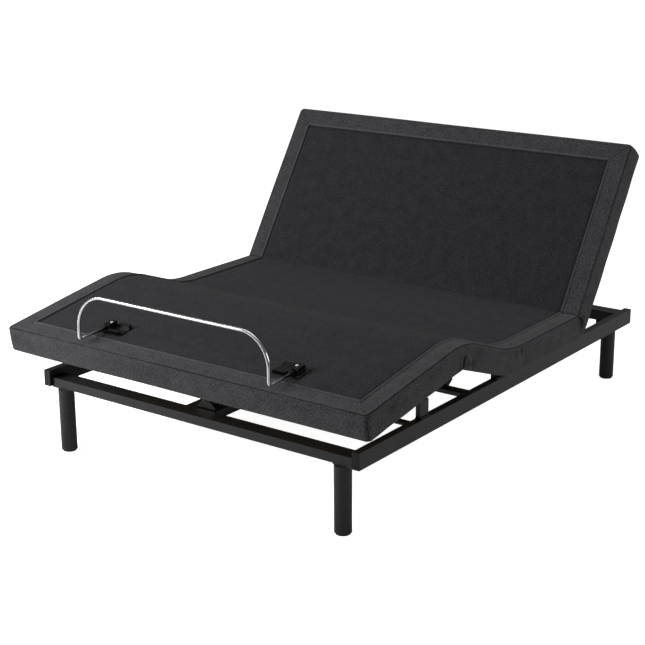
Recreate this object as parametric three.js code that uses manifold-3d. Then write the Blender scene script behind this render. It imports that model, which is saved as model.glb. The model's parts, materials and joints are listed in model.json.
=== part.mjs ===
// Adjustable bed base with four upholstered deck sections on a steel frame, shown part raised.
// Millimetres, +Z up, foot end towards -Y. The origin is on the floor under the middle of the base.
import * as THREE from 'three';
import { mergeVertices } from 'three/addons/utils/BufferGeometryUtils.js';
import Module from 'manifold-3d';

// Driving dimensions of the deck (queen size) and the pose it stands in.
const DECK_WIDTH = 1524;
const DECK_THICKNESS = 92;
const SEAT_TOP = 431.4;
const SEAT_FRONT_CREASE = -128.8;
const SEAT_LENGTH = 480;
const THIGH_LENGTH = 315;
const FOOT_LENGTH = 557;
const HEAD_LENGTH = 676;
const THIGH_ANGLE = THREE.MathUtils.degToRad(20.1);
const FOOT_SLOPE = THREE.MathUtils.degToRad(8.76);
const HEAD_ANGLE = THREE.MathUtils.degToRad(56.7);
const THIGH_LIMIT = THREE.MathUtils.degToRad(35);
const HEAD_LIMIT = THREE.MathUtils.degToRad(60);
const HINGE_DEPTH = 50;
const GAP = 0.3;
const ORIGIN_OFFSET = 3.975;

// Build-up of a deck section, measured from the hinge line.
const FOAM_BOTTOM = 14;
const BOARD_THICKNESS = 15;
const SKIRT = 22;
const END_GAP = 1;
const FRAME_END_GAP = 14;
const CORNER_RADIUS = 18;
const CHANNEL = 25;
const LOW_CHANNEL = 18;
const CHANNEL_WALL = 2;
const SIDE_CHANNEL_X = 640;

// Ears and rods of the three deck hinges.
const HINGE_ROD_RADIUS = 5;
const HINGE_BOSS_RADIUS = 8;
const EAR_X = 520;
const EAR_THICKNESS = 5;
const EAR_SPACING = 0.6;

// Mattress retainer at the foot end: a bent bar whose two arms slope down into brackets.
const RETAINER_X = 402;
const RETAINER_HEIGHT = 178;
const RETAINER_CORNER = 110;
const RETAINER_SETBACK = 1;
const RETAINER_LEAN = THREE.MathUtils.degToRad(10.2);
const BAR_RADIUS = 6;
const ARM_HEIGHT = 20;
const ARM_END_HEIGHT = 8;
const ARM_BEND = 12;
const ARM_LENGTH = 150;

// Bracket of the retainer, measured from the bar's plane and from the arm's middle, inwards negative.
const BRACKET = { y0: 108, y1: 176, inner: -77, outer: 30, thickness: 3 };
const BRACKET_RIBS = { x0: -72, x1: -22, depth: 14, height: 12 };
const BRACKET_SOCKET = { y0: 130, y1: 170, halfWidth: 12, height: 20 };

// Lower frame.
const RAIL_OUTER_X = 676.6;
const RAIL_WIDTH = 28;
const RAIL_BOTTOM = 234;
const RAIL_TOP = 291;
const RAIL_FOOT_END = -892.4;
const RAIL_HEAD_END = 975;
const RAIL_WALL = 2;
const CAP_THICKNESS = 3;
const LEG_X = 597.5;
const LEG_Y = [-866, 945];
const LEG_RADIUS = 28.35;
const LEG_WALL = 3;
const BOSS_RADIUS = 12;
const PLATE_BOTTOM = 229.7;
const PLATE_THICKNESS = 4;
const PLATE_INNER_X = LEG_X - LEG_RADIUS + 0.5;
const GLIDE_HEIGHT = 6;
const LEG_SECTIONS = ['lower', 'middle', 'upper'];

// Cross members between the side rails, and the rail along the middle.
const FOOT_CROSS = { y0: -881, y1: -820, z0: PLATE_BOTTOM + 3.5, z1: 265 };
const HEAD_CROSS = { y0: 884, y1: 944, z0: 251, z1: RAIL_TOP };
const KNEE_CROSS = { y0: -254, y1: -209, z0: 276, z1: 290 };
const REAR_CROSS = { y0: 300, y1: 344, z0: 236, z1: 264 };
const CENTRE_RAIL = { x0: -80, x1: -40, z0: 237, z1: 264 };
const CROSS_ROD = { y: -570, z: 280, radius: 10 };

// Posts on the side rails, and the control box against the middle rail.
const SEAT_POSTS = { front: [-73, 37], rear: [240, 350] };
const SEAT_POST = { x0: 651, x1: 656, footX: 674, flange: 4 };
const REST_POST = { x0: 650, x1: 668, y0: -542, y1: -494, top: 350, wall: 3, base: 4, lip: 6 };
const BOX = { y0: -812, y1: -640, z0: 236, shoulder: 252, width: 86 };
const INLET = { x0: 12, x1: 30, z0: 239, z1: 249, depth: 14 };

// Pivots of the linkage as [y, z]; offsets are in the flat section's own axes.
const LINK_X = 560;
const LINK_PIVOT = [-200, 312];
const LINK_FOOT_OFFSET = [-47.5, -42];
const LINK_PIN_RADIUS = 5;
const LINK_PLAY = 2.6;
const LINK_WIDTH = 24;
const LINK_THICKNESS = 6;
const PIVOT_PLATE = { x0: LINK_X + 4, x1: LINK_X + 9 };
const PIN_END = 2;
const ACTUATOR_PIN_RADIUS = 6;
const ACTUATOR_TUBE_RADIUS = 17;
const ACTUATOR_ROD_RADIUS = 9;
const MOTOR_RADIUS = 27;
const MOTOR_OFFSET = 52;
const HEAD_DRIVE = { x: 110, tail: [-190, 290], lever: [20, -90], tube: 500, play: 8.4 };
const THIGH_DRIVE = { x: -110, tail: [322, 306], lever: [-40, -80], tube: 400, play: 4.6 };
const LEVER = { inner: 12, plate: 5, root: 60, rootDepth: 26, tip: 14, tipDrop: 10 };
const CLEVIS = { inner: 10, plate: 5 };

const wasm = await Module();
wasm.setup();

// ---------------------------------------------------------------- geometry helpers

function toSolid(geometry) {
  const bare = geometry.clone();
  bare.deleteAttribute('normal');
  bare.deleteAttribute('uv');
  const merged = mergeVertices(bare, 1e-4);
  return new wasm.Manifold(new wasm.Mesh({
    numProp: 3,
    vertProperties: new Float32Array(merged.attributes.position.array),
    triVerts: new Uint32Array(merged.index.array),
  }));
}

// Cuts leave slivers thinner than a hundredth of a millimetre; simplify removes them.
function toGeometry(solid) {
  const mesh = solid.asOriginal().simplify(0.01).getMesh();
  const indexed = new THREE.BufferGeometry();
  indexed.setAttribute('position', new THREE.BufferAttribute(mesh.vertProperties, 3));
  indexed.setIndex(new THREE.BufferAttribute(mesh.triVerts, 1));
  indexed.computeVertexNormals();
  return indexed;
}

function union(...solids) {
  return solids.reduce((all, next) => all.add(next));
}

function block(x0, x1, y0, y1, z0, z1) {
  const geometry = new THREE.BoxGeometry(x1 - x0, y1 - y0, z1 - z0);
  geometry.translate((x0 + x1) / 2, (y0 + y1) / 2, (z0 + z1) / 2);
  return toSolid(geometry);
}

// A [y, z] outline pushed along X from x0 to x1.
const YZ_TO_WORLD = new THREE.Matrix4().makeBasis(
  new THREE.Vector3(0, 1, 0), new THREE.Vector3(0, 0, 1), new THREE.Vector3(1, 0, 0));

function prism(points, x0, x1) {
  const shape = new THREE.Shape(points.map(([y, z]) => new THREE.Vector2(y, z)));
  const geometry = new THREE.ExtrudeGeometry(shape, { depth: x1 - x0, bevelEnabled: false });
  geometry.applyMatrix4(YZ_TO_WORLD);
  geometry.translate(x0, 0, 0);
  return toSolid(geometry);
}

function rodX(x0, x1, y, z, radius, sides = 16) {
  const geometry = new THREE.CylinderGeometry(radius, radius, x1 - x0, sides);
  geometry.rotateZ(Math.PI / 2);
  geometry.translate((x0 + x1) / 2, y, z);
  return toSolid(geometry);
}

function rodY(x, y0, y1, z, radius, sides = 20) {
  const geometry = new THREE.CylinderGeometry(radius, radius, y1 - y0, sides);
  geometry.translate(x, (y0 + y1) / 2, z);
  return toSolid(geometry);
}

// Pin through plates that reach halfWidth either side of x.
function pinX(x, halfWidth, y, z, radius) {
  return rodX(x - halfWidth - PIN_END, x + halfWidth + PIN_END, y, z, radius);
}

// Rectangular tube, open at both ends; axis is 'x' or 'y'.
function tube(axis, x0, x1, y0, y1, z0, z1, wall = RAIL_WALL) {
  const outer = block(x0, x1, y0, y1, z0, z1);
  const inner = axis === 'y'
    ? block(x0 + wall, x1 - wall, y0 - 1, y1 + 1, z0 + wall, z1 - wall)
    : block(x0 - 1, x1 + 1, y0 + wall, y1 - wall, z0 + wall, z1 - wall);
  return outer.subtract(inner);
}

// Channel with its open side down, under the deck boards.
const CHANNEL_TOP = FOAM_BOTTOM - GAP - BOARD_THICKNESS - GAP;

function channel(axis, x0, x1, y0, y1, height = CHANNEL) {
  const z0 = CHANNEL_TOP - height;
  const outer = block(x0, x1, y0, y1, z0, CHANNEL_TOP);
  const inset = CHANNEL_WALL;
  const inner = axis === 'y'
    ? block(x0 + inset, x1 - inset, y0 - 1, y1 + 1, z0 - 1, CHANNEL_TOP - inset)
    : block(x0 - 1, x1 + 1, y0 + inset, y1 - inset, z0 - 1, CHANNEL_TOP - inset);
  return outer.subtract(inner);
}

function mirrorX(solid, side) {
  return side > 0 ? solid : solid.mirror([1, 0, 0]);
}

// ---------------------------------------------------------------- materials and assembly

function material(color, roughness, metalness) {
  return new THREE.MeshStandardMaterial({ color, roughness, metalness });
}

const frameSteel = material(0x2f2d2e, 0.5, 0.5);
const zincSteel = material(0x8f9092, 0.35, 0.9);
const chrome = material(0xd6d7d9, 0.12, 1);
const fabric = material(0x454447, 0.95, 0);
const boardWood = material(0xa98a63, 0.8, 0);
const blackPlastic = material(0x1c1c1d, 0.55, 0);
const rubber = material(0x161616, 0.9, 0);

const bed = new THREE.Group();

function addPiece(parent, name, solid, look) {
  const mesh = new THREE.Mesh(toGeometry(solid), look);
  mesh.name = name;
  parent.add(mesh);
}

function sectionGroup([y, z], angle) {
  const group = new THREE.Group();
  group.position.set(0, y, z);
  group.rotation.x = angle;
  bed.add(group);
  return group;
}

// ---------------------------------------------------------------- hinge lines

const SIDES = [['left', -1], ['right', 1]];
const HALF_WIDTH = DECK_WIDTH / 2;

// Horizontal run from a crease in the top surface to the hinge under it.
const thighSetback = HINGE_DEPTH * Math.tan(THIGH_ANGLE / 2);
const headSetback = HINGE_DEPTH * Math.tan(HEAD_ANGLE / 2);
const kneeSetback = HINGE_DEPTH * Math.tan((THIGH_ANGLE + FOOT_SLOPE) / 2);

const hingeLevel = SEAT_TOP - HINGE_DEPTH;
const thighHinge = [SEAT_FRONT_CREASE - thighSetback, hingeLevel];
const headHinge = [SEAT_FRONT_CREASE + SEAT_LENGTH + headSetback, hingeLevel];
const thighRun = THIGH_LENGTH + thighSetback - kneeSetback;
const seatRun = headHinge[0] - thighHinge[0];
const footRun = FOOT_LENGTH - kneeSetback;
const headRun = HEAD_LENGTH + headSetback;
const kneeHinge = [
  thighHinge[0] - thighRun * Math.cos(THIGH_ANGLE),
  thighHinge[1] + thighRun * Math.sin(THIGH_ANGLE),
];

const seat = sectionGroup(thighHinge, 0);
const head = sectionGroup(headHinge, HEAD_ANGLE);
const thigh = sectionGroup(thighHinge, -THIGH_ANGLE);
const foot = sectionGroup(kneeHinge, FOOT_SLOPE);

// Cut-back of the faces that close towards each other, above or below the hinge line.
const BOTTOM = HINGE_DEPTH - DECK_THICKNESS;
const thighMitre = HINGE_DEPTH * Math.tan(THIGH_LIMIT / 2);
const headMitre = HINGE_DEPTH * Math.tan(HEAD_LIMIT / 2);
const kneeLimit = THIGH_LIMIT * (1 + FOOT_SLOPE / THIGH_ANGLE);
const kneeMitre = -BOTTOM * Math.tan(kneeLimit / 2);

// ---------------------------------------------------------------- deck sections

// Cover and foam as a tray: foam on top, skirts down the sides and any free end.
function coverSolid(start, end, topCut, bottomCut, freeStart, freeEnd) {
  const g0 = freeStart ? 0 : END_GAP;
  const g1 = freeEnd ? 0 : END_GAP;
  const outline = [
    [start + g0 + bottomCut[0], BOTTOM], [start + g0, 0], [start + g0 + topCut[0], HINGE_DEPTH],
    [end - g1 - topCut[1], HINGE_DEPTH], [end - g1, 0], [end - g1 - bottomCut[1], BOTTOM],
  ];
  let solid = prism(outline, -HALF_WIDTH, HALF_WIDTH);
  if (freeStart || freeEnd) {
    solid = solid.intersect(roundedPlan(start, end, freeStart, freeEnd));
  }
  const pocketStart = freeStart ? start + SKIRT : start - 1;
  const pocketEnd = freeEnd ? end - SKIRT : end + 1;
  const pocketX = HALF_WIDTH - SKIRT;
  return solid.subtract(block(-pocketX, pocketX, pocketStart, pocketEnd, BOTTOM - 1, FOAM_BOTTOM));
}

// Plan outline with the two corners of the free end rounded.
function roundedPlan(start, end, roundStart, roundEnd) {
  const r0 = roundStart ? CORNER_RADIUS : 0.01;
  const r1 = roundEnd ? CORNER_RADIUS : 0.01;
  const w = HALF_WIDTH;
  const shape = new THREE.Shape();
  shape.moveTo(-w + r0, start);
  shape.lineTo(w - r0, start);
  shape.absarc(w - r0, start + r0, r0, -Math.PI / 2, 0, false);
  shape.lineTo(w, end - r1);
  shape.absarc(w - r1, end - r1, r1, 0, Math.PI / 2, false);
  shape.lineTo(-w + r1, end);
  shape.absarc(-w + r1, end - r1, r1, Math.PI / 2, Math.PI, false);
  shape.lineTo(-w, start + r0);
  shape.absarc(-w + r0, start + r0, r0, Math.PI, Math.PI * 1.5, false);
  const geometry = new THREE.ExtrudeGeometry(shape, {
    depth: DECK_THICKNESS + 2, bevelEnabled: false, curveSegments: 6,
  });
  geometry.translate(0, 0, BOTTOM - 1);
  return toSolid(geometry);
}

function boardSolid(start, end) {
  const x = HALF_WIDTH - SKIRT - 2;
  const top = FOAM_BOTTOM - GAP;
  return block(-x, x, start, end, top - BOARD_THICKNESS, top);
}

// Hinge ear: a plate that reaches from the end channel to the hinge line.
function ear(x0, x1, towards) {
  const plate = prism([
    [0, -8], [26, CHANNEL_TOP - 20], [26, CHANNEL_TOP - 1], [12, CHANNEL_TOP - 1], [0, 6],
  ], x0, x1);
  const boss = rodX(x0, x1, 0, 0, HINGE_BOSS_RADIUS);
  const hole = rodX(x0 - 1, x1 + 1, 0, 0, HINGE_ROD_RADIUS + GAP);
  const solid = plate.add(boss).subtract(hole);
  return towards > 0 ? solid : solid.mirror([0, 1, 0]);
}

// Ears on both sides; the inner ears belong to one section and the outer ones to its neighbour.
function ears(y, towards, outer) {
  const x0 = EAR_X + (outer ? EAR_THICKNESS + EAR_SPACING : 0);
  const one = ear(x0, x0 + EAR_THICKNESS, towards).translate([0, y, 0]);
  return one.add(one.mirror([1, 0, 0]));
}

// Ladder frame: two side channels and cross channels at the given places.
function ladder(start, end, crossings) {
  const x1 = SIDE_CHANNEL_X + CHANNEL;
  const side = channel('y', SIDE_CHANNEL_X, x1, start, end);
  const crosses = crossings.map(([y, height]) => (
    channel('x', -SIDE_CHANNEL_X - 1, SIDE_CHANNEL_X + 1, y, y + CHANNEL, height)));
  return union(side, side.mirror([1, 0, 0]), ...crosses);
}

// Twin lever plates that hang from a section for an actuator's pin.
function leverSolid(drive, towards) {
  const [ey, ez] = drive.lever;
  const { inner, plate, root, rootDepth, tip, tipDrop } = LEVER;
  const top = CHANNEL_TOP - CHANNEL_WALL * 2;
  const near = towards * (FRAME_END_GAP - CHANNEL_WALL);
  const far = towards * root;
  const outline = [
    [near, top], [near, -rootDepth], [ey - towards * tip, ez - tipDrop],
    [ey + towards * tip, ez - tipDrop], [far, -rootDepth], [far, top],
  ];
  return union(
    prism(outline, drive.x - inner - plate, drive.x - inner),
    prism(outline, drive.x + inner, drive.x + inner + plate),
    pinX(drive.x, inner + plate, ey, ez, ACTUATOR_PIN_RADIUS));
}

// Hanging plates and pins on the foot section for the two foot links.
function footLinkAnchors() {
  const [qy, qz] = LINK_FOOT_OFFSET;
  const plate = prism([
    [-38, CHANNEL_TOP - 4], [-15, CHANNEL_TOP - 4], [-15, -24], [qy + 9, qz - 9],
    [qy - 9, qz - 9], [qy - 9, qz + 9],
  ], PIVOT_PLATE.x0, PIVOT_PLATE.x1);
  const pin = rodX(LINK_X - 5, LINK_X + 6, qy, qz, LINK_PIN_RADIUS);
  const one = plate.add(pin);
  return one.add(one.mirror([1, 0, 0]));
}

function buildSeat() {
  const frame = union(
    ladder(FRAME_END_GAP, seatRun - FRAME_END_GAP, [
      [FRAME_END_GAP, CHANNEL], [seatRun / 2, CHANNEL], [seatRun - FRAME_END_GAP - CHANNEL, LOW_CHANNEL]]),
    ears(0, 1, false), ears(seatRun, -1, false));
  addPiece(seat, 'seat_frame', frame, frameSteel);
  addPiece(seat, 'seat_board', boardSolid(FRAME_END_GAP, seatRun - FRAME_END_GAP), boardWood);
  addPiece(seat, 'seat_cover',
    coverSolid(0, seatRun, [thighMitre, headMitre], [0, 0], false, false), fabric);
}

function buildHead() {
  const end = headRun - SKIRT - 4;
  const frame = union(
    ladder(FRAME_END_GAP, end, [
      [FRAME_END_GAP, CHANNEL], [headRun / 2, CHANNEL], [end - CHANNEL, CHANNEL]]),
    ears(0, 1, true), leverSolid(HEAD_DRIVE, 1));
  addPiece(head, 'head_frame', frame, frameSteel);
  addPiece(head, 'head_board', boardSolid(FRAME_END_GAP, end), boardWood);
  addPiece(head, 'head_cover',
    coverSolid(0, headRun, [headMitre, 0], [0, 0], false, true), fabric);
}

function buildThigh() {
  const start = -thighRun + FRAME_END_GAP;
  const frame = union(
    ladder(start, -FRAME_END_GAP, [
      [start, CHANNEL], [-FRAME_END_GAP - CHANNEL, CHANNEL]]),
    ears(0, -1, true), ears(-thighRun, 1, false), leverSolid(THIGH_DRIVE, -1));
  addPiece(thigh, 'thigh_frame', frame, frameSteel);
  addPiece(thigh, 'thigh_board', boardSolid(start, -FRAME_END_GAP), boardWood);
  addPiece(thigh, 'thigh_cover',
    coverSolid(-thighRun, 0, [0, thighMitre], [kneeMitre, 0], false, false), fabric);
}

function buildFoot() {
  const start = -footRun + SKIRT + 4;
  const frame = union(
    ladder(start, -FRAME_END_GAP, [
      [start, CHANNEL], [-footRun / 2, CHANNEL], [-FRAME_END_GAP - CHANNEL, CHANNEL]]),
    ears(0, -1, true), footLinkAnchors());
  addPiece(foot, 'foot_frame', frame, frameSteel);
  addPiece(foot, 'foot_board', boardSolid(start, -FRAME_END_GAP), boardWood);
  addPiece(foot, 'foot_cover',
    coverSolid(-footRun, 0, [0, 0], [0, kneeMitre], true, false), fabric);
}

function buildHingeRods() {
  const reach = EAR_X + 2 * EAR_THICKNESS + 6;
  const rod = () => rodX(-reach, reach, 0, 0, HINGE_ROD_RADIUS);
  addPiece(seat, 'thigh_hinge_rod', rod(), zincSteel);
  addPiece(seat, 'head_hinge_rod', rod().translate([0, seatRun, 0]), zincSteel);
  addPiece(thigh, 'knee_hinge_rod', rod().translate([0, -thighRun, 0]), zincSteel);
}

// ---------------------------------------------------------------- mattress retainer

// Centre line of the bar from one bracket over the hoop to the other, in foot-section axes.
function retainerLine() {
  const half = [];
  const y0 = -footRun + RETAINER_SETBACK;
  const floor = HINGE_DEPTH + ARM_HEIGHT;
  const drop = ARM_HEIGHT - ARM_END_HEIGHT;
  for (const s of [1, 0.75, 0.5, 0.25, 0.1]) {
    half.push([RETAINER_X, ARM_BEND + s * (ARM_LENGTH - ARM_BEND), -s * drop]);
  }
  for (let i = 0; i <= 4; i += 1) {
    const a = (i / 4) * (Math.PI / 2);
    half.push([RETAINER_X, ARM_BEND * (1 - Math.sin(a)), ARM_BEND * (1 - Math.cos(a))]);
  }
  const rise = RETAINER_HEIGHT - ARM_HEIGHT;
  for (let i = 0; i <= 8; i += 1) {
    const a = (i / 8) * (Math.PI / 2);
    half.push([
      RETAINER_X - RETAINER_CORNER * (1 - Math.cos(a)), 0,
      rise - RETAINER_CORNER * (1 - Math.sin(a))]);
  }
  half.push([RETAINER_X * 0.36, 0, rise]);
  const lean = ([x, y, up]) => {
    const angle = up > 0 ? RETAINER_LEAN : 0;
    return new THREE.Vector3(x, y0 + y + up * Math.sin(angle), floor + up * Math.cos(angle));
  };
  const right = half.map(lean);
  const left = right.map((p) => new THREE.Vector3(-p.x, p.y, p.z)).reverse();
  return new THREE.CatmullRomCurve3([...right, ...left], false, 'centripetal');
}

function circleShape(radius, sides) {
  const corners = [];
  for (let i = 0; i < sides; i += 1) {
    const a = (i / sides) * 2 * Math.PI;
    corners.push(new THREE.Vector2(radius * Math.cos(a), radius * Math.sin(a)));
  }
  return new THREE.Shape(corners);
}

// Plate with two ribs across it, and a socket that the end of the arm lies in.
function retainerBracket(side) {
  const bar = -footRun + RETAINER_SETBACK;
  const [y0, y1] = [bar + BRACKET.y0, bar + BRACKET.y1];
  const low = HINGE_DEPTH + GAP;
  const { x0, x1, depth, height } = BRACKET_RIBS;
  const plate = block(RETAINER_X + BRACKET.inner, RETAINER_X + BRACKET.outer,
    y0, y1, low, low + BRACKET.thickness);
  const rib = (y) => block(RETAINER_X + x0, RETAINER_X + x1, y, y + depth, low, low + height);
  const socket = block(RETAINER_X - BRACKET_SOCKET.halfWidth, RETAINER_X + BRACKET_SOCKET.halfWidth,
    bar + BRACKET_SOCKET.y0, bar + BRACKET_SOCKET.y1, low, low + BRACKET_SOCKET.height);
  const armAt = HINGE_DEPTH + ARM_END_HEIGHT + (ARM_HEIGHT - ARM_END_HEIGHT) * BAR_RADIUS / ARM_LENGTH;
  const bore = rodY(
    RETAINER_X, y0 - 1, bar + ARM_LENGTH + 1, armAt, BAR_RADIUS + BRACKET.thickness / 2);
  const one = union(plate, rib(y0), rib(y1 - depth), socket).subtract(bore);
  return mirrorX(one, side);
}

function buildRetainer() {
  const bar = new THREE.ExtrudeGeometry(circleShape(BAR_RADIUS, 8), {
    steps: 64, extrudePath: retainerLine(), bevelEnabled: false,
  });
  addPiece(foot, 'retainer_bar', toSolid(bar), chrome);
  for (const [name, side] of SIDES) {
    addPiece(foot, `${name}_retainer_bracket`, retainerBracket(side), blackPlastic);
  }
}

// ---------------------------------------------------------------- lower frame

const RAIL_INNER_X = RAIL_OUTER_X - RAIL_WIDTH;
const CROSS_X = RAIL_INNER_X - GAP;

function buildSideRails() {
  const y0 = RAIL_FOOT_END + CAP_THICKNESS;
  const y1 = RAIL_HEAD_END - CAP_THICKNESS;
  const rail = tube('y', RAIL_INNER_X, RAIL_OUTER_X, y0, y1, RAIL_BOTTOM, RAIL_TOP);
  const fit = RAIL_WALL + GAP;
  const cap = (flange, plugStart, plugEnd) => union(
    block(RAIL_INNER_X, RAIL_OUTER_X, flange, flange + CAP_THICKNESS - GAP, RAIL_BOTTOM, RAIL_TOP),
    block(RAIL_INNER_X + fit, RAIL_OUTER_X - fit, plugStart, plugEnd,
      RAIL_BOTTOM + fit, RAIL_TOP - fit));
  const footCap = cap(RAIL_FOOT_END, RAIL_FOOT_END + 1, y0 + 15);
  const headCap = cap(y1 + GAP, y1 - 15, RAIL_HEAD_END - 1);
  for (const [name, side] of SIDES) {
    addPiece(bed, `${name}_side_rail`, mirrorX(rail, side), frameSteel);
    addPiece(bed, `${name}_rail_cap_foot`, mirrorX(footCap, side), blackPlastic);
    addPiece(bed, `${name}_rail_cap_head`, mirrorX(headCap, side), blackPlastic);
  }
}

// Flat plate over each leg, with the hole that takes the leg's boss.
function legPlates(y0, y1, legY) {
  const plate = block(PLATE_INNER_X, CROSS_X, y0, y1, PLATE_BOTTOM, PLATE_BOTTOM + PLATE_THICKNESS);
  const hole = legCylinder(BOSS_RADIUS + 2 * GAP, 40, 20).translate([LEG_X, legY, PLATE_BOTTOM - 20]);
  const one = plate.subtract(hole);
  return one.add(one.mirror([1, 0, 0]));
}

function legCylinder(radius, height, sides) {
  const geometry = new THREE.CylinderGeometry(radius, radius, height, sides);
  geometry.rotateX(Math.PI / 2);
  geometry.translate(0, 0, height / 2);
  return toSolid(geometry);
}

// Clevis of two plates and a pin, standing on a cross rail at [y, z].
function clevis(x, [y, z], outline) {
  const { inner, plate } = CLEVIS;
  return union(
    prism(outline, x - inner - plate, x - inner), prism(outline, x + inner, x + inner + plate),
    pinX(x, inner + plate, y, z, ACTUATOR_PIN_RADIUS));
}

function buildCrossRails() {
  const box = (c) => tube('x', -CROSS_X, CROSS_X, c.y0, c.y1, c.z0, c.z1);
  addPiece(bed, 'foot_cross_rail',
    box(FOOT_CROSS).add(legPlates(FOOT_CROSS.y0, FOOT_CROSS.y1, LEG_Y[0])), frameSteel);

  // The head cross rail sits high, so two webs carry each leg plate.
  const webs = [[571, 575], [625, 629]].map(([a, b]) => (
    block(a, b, HEAD_CROSS.y0, HEAD_CROSS.y1, PLATE_BOTTOM + 3.5, HEAD_CROSS.z0 + 0.5)));
  const pair = union(...webs);
  addPiece(bed, 'head_cross_rail', union(
    box(HEAD_CROSS), legPlates(HEAD_CROSS.y0, RAIL_HEAD_END - 1, LEG_Y[1]),
    pair, pair.mirror([1, 0, 0])), frameSteel);

  // Knee rail with the pivots of the foot links and the tail of the head actuator.
  const [ly, lz] = LINK_PIVOT;
  const linkPlate = prism([
    [KNEE_CROSS.y0 + 8, KNEE_CROSS.z1 - 1], [KNEE_CROSS.y1 - 4, KNEE_CROSS.z1 - 1],
    [ly + 11, lz - 6], [ly + 11, lz + 10], [ly - 11, lz + 10],
  ], PIVOT_PLATE.x0, PIVOT_PLATE.x1);
  const linkPin = rodX(LINK_X - 5, LINK_X + 6, ly, lz, LINK_PIN_RADIUS);
  const linkPivot = linkPlate.add(linkPin);
  const [hy, hz] = HEAD_DRIVE.tail;
  const headClevis = clevis(HEAD_DRIVE.x, HEAD_DRIVE.tail, [
    [KNEE_CROSS.y1 - 1, KNEE_CROSS.z0], [hy + 10, hz - 12], [hy + 10, hz + 12],
    [hy - 8, hz + 12], [KNEE_CROSS.y1 - 30, KNEE_CROSS.z1 - 1], [KNEE_CROSS.y1 - 30, KNEE_CROSS.z0 + 1],
  ]);
  addPiece(bed, 'knee_cross_rail', union(
    box(KNEE_CROSS), linkPivot, linkPivot.mirror([1, 0, 0]), headClevis), frameSteel);

  const [ty, tz] = THIGH_DRIVE.tail;
  const thighClevis = clevis(THIGH_DRIVE.x, THIGH_DRIVE.tail, [
    [REAR_CROSS.y0 + 3, REAR_CROSS.z1 - 1], [REAR_CROSS.y1 - 3, REAR_CROSS.z1 - 1],
    [ty + 11, tz + 12], [ty - 11, tz + 12],
  ]);
  addPiece(bed, 'rear_cross_rail', box(REAR_CROSS).add(thighClevis), frameSteel);

  const { x0, x1, z0, z1 } = CENTRE_RAIL;
  addPiece(bed, 'centre_rail',
    tube('y', x0, x1, FOOT_CROSS.y1 + GAP, KNEE_CROSS.y0 - GAP, z0, z1), frameSteel);
  addPiece(bed, 'foot_cross_rod',
    rodX(-CROSS_X, CROSS_X, CROSS_ROD.y, CROSS_ROD.z, CROSS_ROD.radius), frameSteel);
}

// ---------------------------------------------------------------- legs, posts, control box

function legSection(z0, z1, withBoss) {
  const r = LEG_RADIUS;
  const bore = r - LEG_WALL;
  const points = [[r, z1], [r, z0], [bore, z0], [bore, z1 - 6], [0, z1 - 6]];
  const top = withBoss ? [[0, z1 + 3], [BOSS_RADIUS, z1 + 3], [BOSS_RADIUS, z1]] : [[0, z1]];
  const profile = [...top, ...points].reverse().map(([x, y]) => new THREE.Vector2(x, y));
  const geometry = new THREE.LatheGeometry(profile, 20);
  geometry.rotateX(Math.PI / 2);
  return toSolid(geometry);
}

function glideSolid() {
  const puck = legCylinder(24, GLIDE_HEIGHT - GAP, 20);
  const plug = legCylinder(LEG_RADIUS - 4, 10, 20).translate([0, 0, GLIDE_HEIGHT - GAP - 1]);
  return puck.add(plug);
}

function buildLegs() {
  const pitch = (PLATE_BOTTOM - GAP - GLIDE_HEIGHT) / LEG_SECTIONS.length;
  LEG_Y.forEach((y, end) => {
    for (const [sideName, side] of SIDES) {
      const legName = `${end === 0 ? 'foot' : 'head'}_${sideName}_leg`;
      const place = new THREE.Group();
      place.position.set(side * LEG_X, y, 0);
      bed.add(place);
      LEG_SECTIONS.forEach((section, i) => {
        const z0 = GLIDE_HEIGHT + i * pitch;
        addPiece(place, `${legName}_${section}`,
          legSection(z0, z0 + pitch - GAP, i === LEG_SECTIONS.length - 1), frameSteel);
      });
      addPiece(place, `${legName}_glide`, glideSolid(), rubber);
    }
  });
}

// Upright with a foot on the rail and a head under the seat frame.
function seatPost(y0, y1) {
  const low = RAIL_TOP + GAP;
  const high = hingeLevel + CHANNEL_TOP - CHANNEL - GAP;
  const { x0, x1, footX, flange } = SEAT_POST;
  return union(
    block(x0, x1, y0, y1, low, high),
    block(x0, footX, y0, y1, low, low + flange),
    block(SIDE_CHANNEL_X + 2, x1, y0, y1, high - flange, high));
}

// Short stand on the side rail for the lowered foot section: an outer plate with a flange at each end.
function restPost() {
  const { x0, x1, y0, y1, top, wall, base, lip } = REST_POST;
  const low = RAIL_TOP + GAP;
  return union(
    block(x1 - wall, x1, y0, y1, low, top),
    block(x0, x1, y0, y0 + wall, low, top),
    block(x0, x1, y1 - wall, y1, low, top),
    block(x0, SEAT_POST.footX, y0 - base, y1 + base, low, low + base),
    block(x0 - lip, x1, y0, y1, top - base, top));
}

function buildPosts() {
  for (const [name, side] of SIDES) {
    for (const [place, [y0, y1]] of Object.entries(SEAT_POSTS)) {
      addPiece(bed, `${name}_seat_post_${place}`, mirrorX(seatPost(y0, y1), side), frameSteel);
    }
    addPiece(bed, `${name}_foot_rest_post`, mirrorX(restPost(), side), frameSteel);
  }
}

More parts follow.
